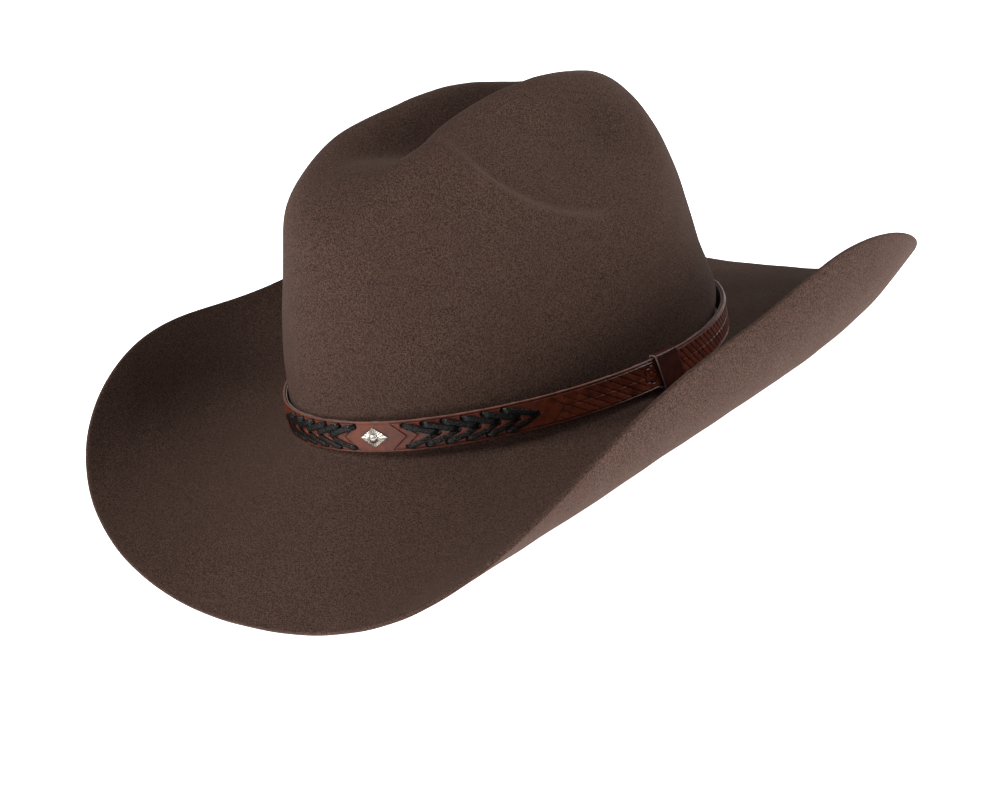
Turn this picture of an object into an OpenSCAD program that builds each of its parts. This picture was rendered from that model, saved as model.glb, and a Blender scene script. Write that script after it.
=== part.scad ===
/* [Head opening] */
// Half of the crown's outer width where it meets the brim
oval_hw = 87.6; // [80:0.1:94]
// Half of the crown's outer length where it meets the brim
oval_hl = 105; // [98:0.5:112]
// Roundness exponent of the oval, 2 is an ellipse
oval_n = 1.9; // [1.85:0.05:2.3]
// Thickness of the felt
felt_t = 2.2; // [1.8:0.1:3]

/* [Crown] */
// Height of the crown's ridges above the brim before the crease is pressed
crown_h = 143.1; // [125:0.1:155]
// Squareness exponent of the crown's profile, averaged round the oval
profile_mid = 2.38; // [2:0.02:3]
// Extra squareness of the profile at the front, taken off the back
profile_front = -0.5; // [-0.6:0.05:0.5]
// Extra squareness of the profile at the front and back, taken off the sides
profile_ends = 0.32; // [0:0.02:1]
// Share of the width lost between the brim and the top
taper_side = 0.115; // [0:0.005:0.15]
// Share of the front half's length lost between the brim and the top
taper_front = -0.107; // [-0.12:0.001:0.1]
// Share of the back half's length lost between the brim and the top
taper_back = -0.074; // [-0.1:0.001:0.1]
// Depth of the centre crease
crease_d = 39; // [20:1:42]
// Half width of the centre crease
crease_w = 25.4; // [16:0.2:30]
// Depth of the two side dents
dent_d = 8; // [4:0.5:12]
// Place of the side dents along the hat, negative is forward
dent_y = 25; // [0:1:40]
// Height of the side dents above the brim
dent_z = 115; // [105:1:125]

/* [Brim] */
// Width of the brim, measured along its surface
brim_w = 93.6; // [80:0.1:105]
// Slope of the brim where it leaves the crown, in degrees
root_slope = -17.6; // [-22:0.2:0]
// Slope of the brim's edge, averaged round the hat, in degrees
edge_slope = 49.4; // [40:0.2:60]
// Extra slope that rolls the two sides up, in degrees
side_roll = 50; // [40:1:66]

/* [Hatband] */
// Height of the leather strap
strap_h = 13.5; // [12:0.5:20]
// Thickness of the strap
strap_t = 1.4; // [1.2:0.1:2.4]
// Thickness of the backing behind the strap
backing_t = 0.6; // [0.5:0.1:1.4]
// Height of the strap's lower edge above the brim's root
strap_z = 3.1; // [2:0.1:4]
// Gap between the crown and the backing at the sides
gap_side = 1.8; // [1.6:0.1:3]
// Gap between the crown and the backing at the front and back
gap_end = 3; // [2.5:0.1:5]
// Radius of the band's oval at its front and back
end_r = 72; // [66:1:84]
// Place of the stud along the strap, measured from the middle of the front
stud_at = 22.5; // [0:0.5:30]
// Distance from one laced chevron to the next, on the wearer's left of the stud
lace_pitch_left = 8.6; // [8:0.1:11]
// Distance from one laced chevron to the next, on the wearer's right of the stud
lace_pitch_right = 8.4; // [7:0.1:11]
// Thickness of the leather lace
lace_t = 1.3; // [0.8:0.1:1.8]
// Width of the keeper loop along the strap
keeper_w = 14; // [10:1:20]

/* [Sweatband] */
// Height of the leather sweatband inside the crown
sweat_h = 52; // [40:1:56]
// Thickness of the sweatband
sweat_t = 1.1; // [0.8:0.1:1.6]
// Number of stitches that show along the sweatband
stitch_count = 96; // [60:4:120]

/* [Hidden] */

// Angles round the hat start at the front, -Y, and grow towards the wearer's left, +X.
// Height 0 is the brim's root, where the crown meets the brim.

// Points round the felt and round the skins inside it
around_felt = 72;
around_skin = around_felt;
// Steps up the crown's profile and out along the brim
crown_steps = 15;
brim_steps = 9;

// Size of the side dents, along the hat and up it, and how crisp their edge is
dent_len = 62;
dent_high = 45;
dent_crisp = 7;
dent_fade = 12;
// Length and middle of the centre crease, as shares of the crown's half length
crease_len = 0.75;
crease_at = -0.118;
// How steep the crease's walls are, and how far it lies off the middle, straight and on the skew
crease_sharp = 3.06;
crease_shift = -3.6;
crease_skew = -3.6;
// How the ridges' height changes: towards the back, at both ends, at the back against the front,
// on the left, and across corners
ridge_rise = -0.072;
ridge_bow = 0.012;
ridge_far = 0.032;
ridge_left = -0.013;
ridge_twist = 0.061;
// Lean of the crown's top towards the wearer's left, and how much its front is pinched
crown_lean = -1.1;
crown_pinch = 0.039;
// Fuller shoulder at the front right, and fuller foot at the back left: how much, and at what share
// of the height and over what share it shows
shoulder = 0.082;
shoulder_side = -48;
shoulder_at = 0.667;
shoulder_high = 0.136;
fullness = 0.046;
fullness_side = 136;
fullness_at = 0.142;
fullness_high = 0.108;

// How the brim's width changes round the hat, in millimetres
wide_front = 2.4;
wide_ends = 0.16;
wide_corner = -8;
wide_left = 7.4;
wide_diagonal = -1.8;
// How the slope at the brim's root changes round the hat, in degrees
root_front = -14.9;
root_ends = -1.4;
root_left = -8.3;
// How the slope at the brim's edge changes round the hat, in degrees
edge_front = -9.4;
edge_thirds = -3.4;
edge_corner = -17.7;
edge_left = 9.1;
edge_diagonal = -9;
edge_left_corner = -7.1;
// How late the brim turns up on its way out
roll_power = 1.51;
roll_power_ends = 0.27;

// Lining and sweatband, as depths behind the felt's outside
skin_gap = 0.6;
lining_t = 0.5;
lining_depth = felt_t + skin_gap;
sweat_depth = lining_depth + lining_t + skin_gap;
// Profile angle where the lining's side piece ends and its tip begins
lining_seam = 58;
lining_foot = 12;
sweat_foot = -1.5;
// The reed in its tape, under the sweatband's foot
reed_r = 0.7;
tape_t = 0.55;
reed_depth = 4.4;
reed_z = -3.2;
stitch_r = 0.35;
stitch_len = 4;
stitch_z = 4;
bow_z = 14;
bow_t = 2.4;

// Points round the hatband
around_band = 144;
// How far the hatband sits towards the wearer's left and the back, where the worn hat pushes it
band_left = 1.5;
band_back = 1.6;
// How much lower the backing is than the strap, at each edge
edge_step = 0.3;
// Middle of the keeper, along the strap from the middle of the front
keeper_along = 162.9;
keeper_inner_t = 0.8;
keeper_outer_t = 1.5;
keeper_lip_t = 1.1;
// Gap between the strap's ends under the keeper
strap_break = 1;
// Laced chevrons each side of the stud, and how far from it the first one's tip is
chevrons = 6;
lace_start_left = 27.9;
lace_start_right = 23.5;
// The stud's outline and heights, and its prongs
stud_outline = [[-6, 0], [0, 4.2], [6, 0], [0, -4.2]];
stud_plate = 0.5;
stud_high = 2.6;
prong_at = 3;
prong_w = 0.6;
prong_h = 1.4;
slit_room = 0.2;

// ---------- surfaces ----------

// Radius of the oval at an angle
function oval_r(a) =
    pow(pow(abs(sin(a)) / oval_hw, oval_n) + pow(abs(cos(a)) / oval_hl, oval_n), -1 / oval_n);

// Direction square to the oval at an angle
function oval_dir(a) =
    let (
        r = oval_r(a),
        nx = sign(sin(a)) * pow(abs(sin(a)) * r / oval_hw, oval_n - 1) / oval_hw,
        ny = -sign(cos(a)) * pow(abs(cos(a)) * r / oval_hl, oval_n - 1) / oval_hl
    )
    [nx, ny] / norm([nx, ny]);

// Squareness exponent of the profile at an angle
function profile_n(a) =
    max(1.8, profile_mid + profile_front * cos(a) + profile_ends * cos(2 * a));

// How much fuller the crown is at an angle and a share of its height
function fuller(a, up) =
    shoulder * exp(4 * cos(a - shoulder_side) - 4 - pow((up - shoulder_at) / shoulder_high, 2))
    + fullness * exp(4 * cos(a - fullness_side) - 4 - pow((up - fullness_at) / fullness_high, 2))
        * (1 - exp(-pow(up / 0.09, 2)));

// A point of the crown's outside: t runs from 0 at the brim to 90 at the middle of the top.
// The skins inside the crown leave out its fuller places: full is 0 for them.
function crown_pt(a, t, full = 1) =
    let (
        power = 2 / profile_n(a),
        up = pow(sin(t), power),
        flat = oval_r(a) * pow(cos(t), power) * (1 + full * fuller(a, up)),
        y = -flat * cos(a) * (1 - (cos(a) > 0 ? taper_front : taper_back) * up),
        u = y / oval_hl,
        pinch = crown_pinch * up * up * min(1, max(0, (0.4 - u) / 1.4)),
        x = flat * sin(a) * (1 - taper_side * up) * (1 - pinch),
        v = x / oval_hw,
        along = ridge_rise * u + ridge_bow * u * u + ridge_far * u * u * u,
        ridge = crown_h * (1 + along + ridge_left * v + ridge_twist * v * u),
        lean_x = x + crown_lean * up,
        off = abs(lean_x - crease_shift - crease_skew * u) / crease_w,
        crease = crease_d * exp(-pow((u - crease_at) / crease_len, 4) - pow(off, crease_sharp)),
        z = up * ridge - crease * pow(up, 6),
        away = 1 - pow((y - dent_y) / dent_len, 2) - pow((z - dent_z) / dent_high, 2),
        dent = dent_d * ln(1 + exp(dent_crisp * away)) / dent_crisp,
        inward = sign(lean_x) * dent * (1 - exp(-pow(lean_x / dent_fade, 2)))
    )
    [lean_x - inward, y, z];

// Direction square to the crown, from the points on both sides
function crown_dir(a, t, full = 1) =
    t > 88 ? [0, 0, 1] :
    let (
        around = crown_pt(a + 1, t, full) - crown_pt(a - 1, t, full),
        c = cross(around, crown_pt(a, t + 1, full) - crown_pt(a, max(t - 1, 0), full))
    )
    c / norm(c);

// A point of a skin at a depth behind the crown's outside
function behind_crown(a, t, depth) = crown_pt(a, t, 0) - depth * crown_dir(a, t, 0);

// Profile angle that reaches a height near the foot of the crown
function angle_at(a, z) = asin(pow(z / crown_h, profile_n(a) / 2));

// Slope of the brim at an angle, at a share s of its width
function brim_slope(a, s) =
    let (
        root = root_slope + root_front * cos(a) + root_ends * cos(2 * a) + root_left * sin(a),
        edge = edge_slope + edge_front * cos(a) - side_roll * cos(2 * a)
            + edge_thirds * cos(3 * a) + edge_corner * cos(4 * a)
            + edge_left * sin(a) + edge_diagonal * sin(2 * a) + edge_left_corner * sin(3 * a),
        power = roll_power + roll_power_ends * cos(2 * a)
    )
    root + (edge - root) * pow(s, power);

// Width of the brim at an angle
function brim_width(a) =
    brim_w + wide_front * cos(a) + wide_ends * cos(2 * a) + wide_corner * cos(4 * a)
        + wide_left * sin(a) + wide_diagonal * sin(2 * a);

// Points of the brim's upper side along one line outward, without the first one
function brim_line(a) =
    let (step = brim_width(a) / brim_steps)
    [for (
        i = 1,
        slope = brim_slope(a, 0.5 / brim_steps),
        out = step * cos(slope),
        z = step * sin(slope);
        i <= brim_steps;
        i = i + 1,
        slope = brim_slope(a, (i - 0.5) / brim_steps),
        out = out + step * cos(slope),
        z = z + step * sin(slope)
    ) concat((oval_r(a) * [sin(a), -cos(a)] + out * oval_dir(a)), z)];

// ---------- skins ----------

// Angles that split the circle evenly
function round_angles(count) = [for (i = [0:count - 1]) 360 * i / count];

// Triangles between ring i and ring j, which both have the same number of points
function joining_faces(i, j, count) = [
    for (k = [0:count - 1])
        let (next = (k + 1) % count, a = i * count, b = j * count)
        each [[a + k, b + next, b + k], [a + k, a + next, b + next]]
];

// Triangles of a fan between ring i and the point number tip
function fan_faces(i, tip, count, faces_up) = [
    for (k = [0:count - 1])
        let (a = i * count + k, b = i * count + (k + 1) % count)
        faces_up ? [tip, b, a] : [tip, a, b]
];

// A solid whose surface runs through all rings, from one tip point to the other
module capped_skin(rings, first_tip, last_tip) {
    count = len(rings[0]);
    points = concat([for (ring = rings) each ring], [first_tip, last_tip]);
    polyhedron(points, concat(
        [for (i = [0:len(rings) - 2]) each joining_faces(i, i + 1, count)],
        fan_faces(0, len(points) - 2, count, true),
        fan_faces(len(rings) - 1, len(points) - 1, count, false)
    ));
}

// A solid whose surface runs through all rings and back to the first one
module looped_skin(rings) {
    count = len(rings[0]);
    last = len(rings) - 1;
    polyhedron([for (ring = rings) each ring], concat(
        [for (i = [0:last - 1]) each joining_faces(i, i + 1, count)],
        joining_faces(last, 0, count)
    ));
}

// Direction from a felt point into the felt, from its neighbours round and along the profile
function into_felt(before, here, after, left, right) =
    let (c = cross(right - left, after - before)) c / norm(c);

// Depth along that direction that keeps the felt's thickness at a bend
function bend_depth(before, here, after) =
    let (d1 = (here - before) / norm(here - before), d2 = (after - here) / norm(after - here))
    felt_t / sqrt((1 + d1 * d2) / 2);

// ---------- the hat ----------

felt_color = "#47342d";
leather_color = "#6b3a30";
lace_color = "#1d1c1c";

// The crown and brim are one piece of felt: its outside runs down the crown and out over the brim
module felt_body() {
    angles = round_angles(around_felt);
    top = crown_pt(0, 90);
    crown_rings = [
        for (i = [1:crown_steps]) [for (a = angles) crown_pt(a, 90 * (1 - i / crown_steps))]
    ];
    lines = [for (a = angles) brim_line(a)];
    brim_rings = [for (i = [0:brim_steps - 1]) [for (line = lines) line[i]]];
    outside = concat(crown_rings, brim_rings);
    last = len(outside) - 1;
    inside = [
        for (i = [last:-1:0]) [
            for (k = [0:around_felt - 1])
                let (
                    here = outside[i][k],
                    before = i == 0 ? top : outside[i - 1][k],
                    after = i == last ? 2 * here - before : outside[i + 1][k],
                    left = outside[i][(k + around_felt - 1) % around_felt],
                    right = outside[i][(k + 1) % around_felt]
                )
                here + bend_depth(before, here, after) * into_felt(before, here, after, left, right)
        ]
    ];
    color(felt_color) capped_skin(concat(outside, inside), top, top - [0, 0, felt_t]);
}

// A ring of points behind the crown at a height near its foot
function foot_ring(z, depth) = [
    for (a = round_angles(around_skin))
        let (p = behind_crown(a, angle_at(a, max(z, 0)), depth)) z < 0 ? [p.x, p.y, z] : p
];

// A ring of points behind the crown at a profile angle
function profile_ring(t, depth) = [for (a = round_angles(around_skin)) behind_crown(a, t, depth)];

// The leather band that sits on the forehead
module sweatband() {
    heights = [sweat_h, sweat_h * 0.7, sweat_h * 0.4, sweat_h * 0.15, 0, sweat_foot];
    color("#6e4a34") looped_skin(concat(
        [for (z = heights) foot_ring(z, sweat_depth)],
        [for (i = [len(heights) - 1:-1:0]) foot_ring(heights[i], sweat_depth + sweat_t)]
    ));
}

// A tube of a given radius all round the head opening
module opening_tube(radius) {
    sides = 8;
    looped_skin([
        for (i = [0:sides - 1])
            let (turn = 90 - 360 * i / sides, depth = reed_depth - radius * cos(turn))
            foot_ring(reed_z + radius * sin(turn), depth)
    ]);
}

// The springy cord that holds the opening's oval
module sweatband_reed() {
    color("#d8d2c4") opening_tube(reed_r);
}

// The woven tape folded round the reed
module reed_tape() {
    color("#3a2a24") difference() {
        opening_tube(reed_r + tape_t);
        opening_tube(reed_r + 0.05);
    }
}

// The row of stitches along the sweatband's foot
module sweatband_stitches() {
    depth = sweat_depth + sweat_t + stitch_r + 0.5;
    color("#c8ad88")
        for (a = round_angles(stitch_count)) {
            out = oval_dir(a);
            at = oval_r(a) * [sin(a), -cos(a)] - depth * out;
            translate([at.x, at.y, stitch_z])
                rotate([90, 0, atan2(out.y, out.x)])
                    cylinder(h = stitch_len, r = stitch_r, center = true, $fn = 16);
        }
}

// The small ribbon bow at the back of the sweatband: two loops, two tails and a knot
module sweatband_bow() {
    face = oval_hl - sweat_depth - sweat_t - 1.4;
    color("#2c211d")
        translate([0, face - bow_t / 2, bow_z])
            rotate([90, 0, 0]) {
                for (side = [0, 1])
                    mirror([side, 0, 0])
                        linear_extrude(bow_t, center = true)
                            polygon([[0, 1], [8, 4], [11, 3], [11, -2.5], [8, -3], [2.5, -1], [8, -9], [5, -10], [0, -2]]);
                cube([4, 5, bow_t + 0.8], center = true);
            }
}

// The satin piece inside the crown's wall, tucked behind the sweatband
module lining_side() {
    feet = [lining_foot, sweat_h * 0.5, sweat_h * 0.75, sweat_h, sweat_h + 10];
    climb = [30, 36, 42, 48, 54, lining_seam];
    ring_at = function(depth) concat(
        [for (i = [len(climb) - 1:-1:0]) profile_ring(climb[i], depth)],
        [for (i = [len(feet) - 1:-1:0]) foot_ring(feet[i], depth)]
    );
    outer = ring_at(lining_depth);
    inner = ring_at(lining_depth + lining_t);
    color("#b9a689") looped_skin(concat(outer, [for (i = [len(inner) - 1:-1:0]) inner[i]]));
}

// The satin piece inside the top of the crown
module lining_tip() {
    climb = [84, 78, 72, 66, lining_seam + 1];
    outer = [for (t = climb) profile_ring(t, lining_depth)];
    inner = [for (i = [len(climb) - 1:-1:0]) profile_ring(climb[i], lining_depth + lining_t)];
    top = crown_pt(0, 90) - [0, 0, lining_depth];
    color("#b9a689") capped_skin(concat(outer, inner), top, top - [0, 0, lining_t]);
}

// ---------- the hatband ----------

// The band's oval is four arcs that meet smoothly: two at the ends and two at the sides
band_hw = oval_hw + gap_side;
band_hl = oval_hl + gap_end;
end_c = band_hl - end_r;
side_r = (pow(band_hw, 2) + pow(end_c, 2) - pow(end_r, 2)) / (2 * (band_hw - end_r));
side_c = side_r - band_hw;
arcs_meet = atan(side_c / end_c);
strap_out = backing_t + strap_t;

// A point of the band where it faces an angle, at a distance outside the backing's inner side
function band_pt(a, out) =
    abs(sin(a)) * end_c < abs(cos(a)) * side_c
        ? [0, -sign(cos(a)) * end_c] + (end_r + out) * [sin(a), -cos(a)]
        : [-sign(sin(a)) * side_c, 0] + (side_r + out) * [sin(a), -cos(a)];

// The angle that the strap faces at a distance along it from the middle of the front
function facing_at(along) =
    let (
        r_end = end_r + strap_out,
        end_len = r_end * arcs_meet * PI / 180,
        rest = max(abs(along) - end_len, 0)
    )
    sign(along) * (min(abs(along), end_len) / r_end + rest / (side_r + strap_out)) * 180 / PI;

// Moves the hatband's pieces to where the band sits on the crown
module on_crown() {
    translate([band_left, band_back, 0]) children();
}

// A ring round the crown, between two distances outside the backing's inner side
module band_ring(inner, outer, z, high) {
    translate([0, 0, z])
        linear_extrude(high)
            difference() {
                polygon([for (a = round_angles(around_band)) band_pt(a, outer)]);
                polygon([for (a = round_angles(around_band)) band_pt(a, inner)]);
            }
}

// Puts its children on the strap's face, with X along the strap, Z up and -Y outward
module on_strap(along) {
    a = facing_at(along);
    at = band_pt(a, strap_out);
    translate([at.x, at.y, strap_z + strap_h / 2]) rotate([0, 0, a]) children();
}

// The thin leather behind the strap
module band_backing() {
    color("#5a4a42") band_ring(0, backing_t, strap_z + edge_step, strap_h - 2 * edge_step);
}

// The leather strap, whose two ends meet under the keeper
module band_strap() {
    color(leather_color)
        difference() {
            band_ring(backing_t, strap_out, strap_z, strap_h);
            on_strap(keeper_along) cube([strap_break, 4 * strap_t, 2 * strap_h], center = true);
            on_strap(stud_at) for (side = [-1, 1]) prong(side, slit_room);
        }
}

// A prong of the stud, or with room round it the slit that it goes through
module prong(side, room) {
    translate([side * prong_at, strap_t / 2 - 0.1, 0])
        cube([prong_w + 2 * room, strap_t + 4 * room, prong_h + 2 * room], center = true);
}

// One arrow of lace, pointing along +X, with its tip at the origin
module chevron() {
    rotate([90, 0, 0])
        linear_extrude(10, center = true)
            polygon([
                [-14.5, 5.9], [0, 1.2], [0.8, 0.2], [0, -0.7],
                [-13.6, -5.9], [-13.6, -4.6], [-3.6, -0.1], [-14.5, 3.9]
            ]);
}

// Laced arrows that point away from the stud, on its left side (1) or right side (-1)
module lace(side, start, pitch) {
    color(lace_color)
        for (i = [0:chevrons - 1])
            intersection() {
                band_ring(strap_out, strap_out + lace_t, strap_z, strap_h);
                on_strap(stud_at + side * (start + i * pitch))
                    mirror([side < 0 ? 1 : 0, 0, 0]) chevron();
            }
}

module lace_left() {
    lace(1, lace_start_left, lace_pitch_left);
}

module lace_right() {
    lace(-1, lace_start_right, lace_pitch_right);
}

// The diamond stud: a low pyramid on a thin plate, held by two prongs
module diamond_stud() {
    color("#c9c2b6")
        on_strap(stud_at)
            translate([0, -0.02, 0]) {
                rotate([90, 0, 0])
                    linear_extrude(stud_plate) polygon(stud_outline);
                polyhedron(
                    [for (p = stud_outline) [p.x, -stud_plate, p.y], [0, -stud_high, 0]],
                    [[3, 2, 1, 0], [0, 1, 4], [1, 2, 4], [2, 3, 4], [3, 0, 4]]
                );
                for (side = [-1, 1]) prong(side, 0);
            }
}

// The leather loop that slides along the strap's side arc
module band_keeper() {
    a = facing_at(keeper_along);
    turn = keeper_w / (side_r + strap_out) * 180 / PI;
    room = 0.3;
    low = strap_z - room;
    high = strap_h + 2 * room;
    color(leather_color)
        translate([-side_c, 0, 0])
            rotate([0, 0, a - 90 - turn / 2])
                rotate_extrude(angle = turn, $fn = 180)
                    difference() {
                        translate([side_r - room - keeper_inner_t, low - keeper_lip_t])
                            square([
                                strap_out + 2 * room + keeper_inner_t + keeper_outer_t,
                                high + 2 * keeper_lip_t
                            ]);
                        translate([side_r - room, low]) square([strap_out + 2 * room, high]);
                    }
}

felt_body();
sweatband();
sweatband_reed();
reed_tape();
sweatband_stitches();
sweatband_bow();
lining_side();
lining_tip();
on_crown() band_backing();
on_crown() band_strap();
on_crown() lace_left();
on_crown() lace_right();
on_crown() diamond_stud();
on_crown() band_keeper();
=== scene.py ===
import math

import bmesh
import bpy
import numpy as np
from mathutils import Matrix, Vector


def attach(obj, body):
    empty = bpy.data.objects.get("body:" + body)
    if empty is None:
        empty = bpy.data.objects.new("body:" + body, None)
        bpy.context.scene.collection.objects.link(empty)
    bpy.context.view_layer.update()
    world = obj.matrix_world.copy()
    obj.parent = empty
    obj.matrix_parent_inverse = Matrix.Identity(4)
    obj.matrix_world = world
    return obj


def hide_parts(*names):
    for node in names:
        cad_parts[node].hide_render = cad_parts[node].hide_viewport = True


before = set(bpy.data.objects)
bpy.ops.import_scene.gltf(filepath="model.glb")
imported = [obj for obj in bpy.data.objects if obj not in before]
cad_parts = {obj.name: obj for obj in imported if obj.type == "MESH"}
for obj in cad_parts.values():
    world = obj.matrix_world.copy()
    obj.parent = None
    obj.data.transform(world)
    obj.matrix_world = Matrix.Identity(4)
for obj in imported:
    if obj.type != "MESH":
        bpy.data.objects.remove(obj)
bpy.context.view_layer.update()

MM = 0.001
TAU = 2 * math.pi

# ---------- sizes, in millimetres; angles start at the front, -Y, and grow towards the wearer's left, +X ----------

OVAL_HW, OVAL_HL, OVAL_N = 87.6, 105.0, 1.9
FELT_T = 2.2

CROWN_H = 143.1
PROFILE_MID, PROFILE_FRONT, PROFILE_ENDS = 2.38, -0.5, 0.32
TAPER_SIDE, TAPER_FRONT, TAPER_BACK = 0.115, -0.107, -0.074
RIDGE_RISE, RIDGE_BOW, RIDGE_FAR, RIDGE_LEFT, RIDGE_TWIST = -0.072, 0.012, 0.032, -0.013, 0.061
CROWN_LEAN, CROWN_PINCH = -1.1, 0.039
SHOULDER = {"at": 0.667, "angle": -48, "high": 0.136, "most": 0.082}
FULLNESS = {"at": 0.142, "angle": 136, "high": 0.108, "most": 0.046}
CREASE_D, CREASE_W, CREASE_LEN, CREASE_AT = 39.0, 25.4, 0.75, -0.118
CREASE_SHARP, CREASE_SHIFT, CREASE_SKEW = 3.06, -3.6, -3.6
DENT_D, DENT_Y, DENT_Z, DENT_LEN, DENT_HIGH, DENT_CRISP, DENT_FADE = 8.0, 25.0, 115.0, 62.0, 45.0, 7.0, 12.0
LIP, LIP_Y, LIP_Z, LIP_LEN, LIP_HIGH = 4.6, 20.0, 125.0, 60.0, 50.0
LIP_STEP, LIP_END, LIP_SOFT = (-0.03, 0.15), (2.0, 26.0), (104, 130)
HOLLOW, HOLLOW_Y, HOLLOW_Z, HOLLOW_LEN, HOLLOW_HIGH = 4.5, 40.0, 104.0, 24.0, 15.0
LIP_RIM, LIP_RIM_AT, LIP_RIM_HALF, LIP_FAR = 0.8, -0.07, 0.08, 0.12

BRIM_W = 93.6
WIDE_FRONT, WIDE_ENDS, WIDE_CORNER, WIDE_LEFT, WIDE_DIAGONAL = 2.4, 0.16, -8.0, 7.4, -1.8
ROOT_SLOPE, ROOT_FRONT, ROOT_ENDS, ROOT_LEFT = -17.6, -14.9, -1.4, -8.3
EDGE_SLOPE, EDGE_FRONT, SIDE_ROLL, EDGE_THIRDS, EDGE_CORNER = 49.4, -9.4, 50.0, -3.4, -17.7
EDGE_LEFT, EDGE_DIAGONAL, EDGE_LEFT_CORNER = 9.1, -9.0, -7.1
ROLL_POWER, ROLL_POWER_ENDS = 1.51, 0.27

STRAP_H, STRAP_T, BACKING_T, STRAP_Z = 13.5, 1.4, 0.6, 3.1
BAND_LEFT, BAND_BACK = 1.5, 1.6
GAP_SIDE, GAP_END, END_R = 1.8, 3.0, 72.0
STUD_AT, KEEPER_AT, KEEPER_W, STRAP_BREAK = 22.5, 162.9, 14.0, 1.0
LACES = 6
LACE_LEFT = (27.9, 8.6)
LACE_RIGHT = (23.5, 8.4)

SKIN_GAP, LINING_T = 0.6, 0.5
LINING_DEPTH = FELT_T + SKIN_GAP
SWEAT_DEPTH = LINING_DEPTH + LINING_T + SKIN_GAP
SWEAT_H, SWEAT_T, SWEAT_FOOT = 52.0, 1.1, -1.5
REED_R, TAPE_T, REED_DEPTH, REED_Z = 0.7, 0.55, 4.4, -3.2
STITCHES, STITCH_Z = 96, 4.0
BOW_Z = 14.0
LINING_SEAM = 58.0


# ---------- small numeric helpers ----------

def smooth(x, low, high):
    """0 below low, 1 above high, and a smooth step between."""
    t = np.clip((x - low) / (high - low), 0, 1)
    return t * t * (3 - 2 * t)


def bump(x, at, half):
    """1 at a place, falling to 0 at a half width from it."""
    return 1 - smooth(np.abs(x - at), 0, half)


def circle(count):
    """Evenly spaced angles, once round."""
    return np.arange(count) * TAU / count


def unit(v):
    """v, made 1 long."""
    return v / np.maximum(np.linalg.norm(v, axis=-1, keepdims=True), 1e-9)


def grid_normals(grid):
    """Normals of a grid of points whose first axis goes round and whose second goes down and out."""
    around = np.roll(grid, -1, 0) - np.roll(grid, 1, 0)
    return unit(np.cross(np.gradient(grid, axis=1), around))


# ---------- the felt's surface: the CAD part's formulas, with a lip and a hollow added to its side dents ----------

def oval_r(a):
    """How far out the oval where crown and brim meet is at an angle."""
    return ((abs(np.sin(a)) / OVAL_HW) ** OVAL_N + (abs(np.cos(a)) / OVAL_HL) ** OVAL_N) ** (-1 / OVAL_N)


def oval_dir(a):
    """The way straight out from that oval."""
    r = oval_r(a)
    x = np.sign(np.sin(a)) * (abs(np.sin(a)) * r / OVAL_HW) ** (OVAL_N - 1) / OVAL_HW
    y = -np.sign(np.cos(a)) * (abs(np.cos(a)) * r / OVAL_HL) ** (OVAL_N - 1) / OVAL_HL
    return unit(np.stack([x, y], -1))


def profile_n(a):
    """How square the crown's profile is at an angle."""
    return np.maximum(1.8, PROFILE_MID + PROFILE_FRONT * np.cos(a) + PROFILE_ENDS * np.cos(2 * a))


def inside_lip(y, z):
    """0 on the foot of a side dent's lip and up to 1 within it."""
    return 1 - ((y - LIP_Y) / LIP_LEN) ** 2 - ((z - LIP_Z) / LIP_HIGH) ** 2


def dent_depth(x, y, z):
    """How far the side dents push the crown in. The lip softens towards the ridge, and is faint on the right."""
    away = 1 - ((y - DENT_Y) / DENT_LEN) ** 2 - ((z - DENT_Z) / DENT_HIGH) ** 2
    dent = DENT_D * np.logaddexp(0, DENT_CRISP * away) / DENT_CRISP
    within = inside_lip(y, z)
    high = smooth(z, *LIP_SOFT)
    # up there the lip's step is wider, and its rear end lies further forward
    lip = LIP * smooth(within, LIP_STEP[0] - 0.35 * high, LIP_STEP[1] + 0.35 * high)
    lip = lip - LIP_RIM * (1 - high) * np.exp(-(((within - LIP_RIM_AT) / LIP_RIM_HALF) ** 2))
    lip = lip * (1 - 0.9 * smooth(y, LIP_END[0] - 14 * high, LIP_END[1] - 2 * high))
    hollow = HOLLOW * np.exp(-(((y - HOLLOW_Y) / HOLLOW_LEN) ** 2) - ((z - HOLLOW_Z) / HOLLOW_HIGH) ** 2)
    return dent + (hollow + lip) * np.where(x > 0, 1, LIP_FAR)


def fuller(a, up, at, angle, high, most):
    """A place where the crown is fuller, round a height and an angle."""
    return most * np.exp(4 * np.cos(a - math.radians(angle)) - 4 - ((up - at) / high) ** 2)


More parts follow.
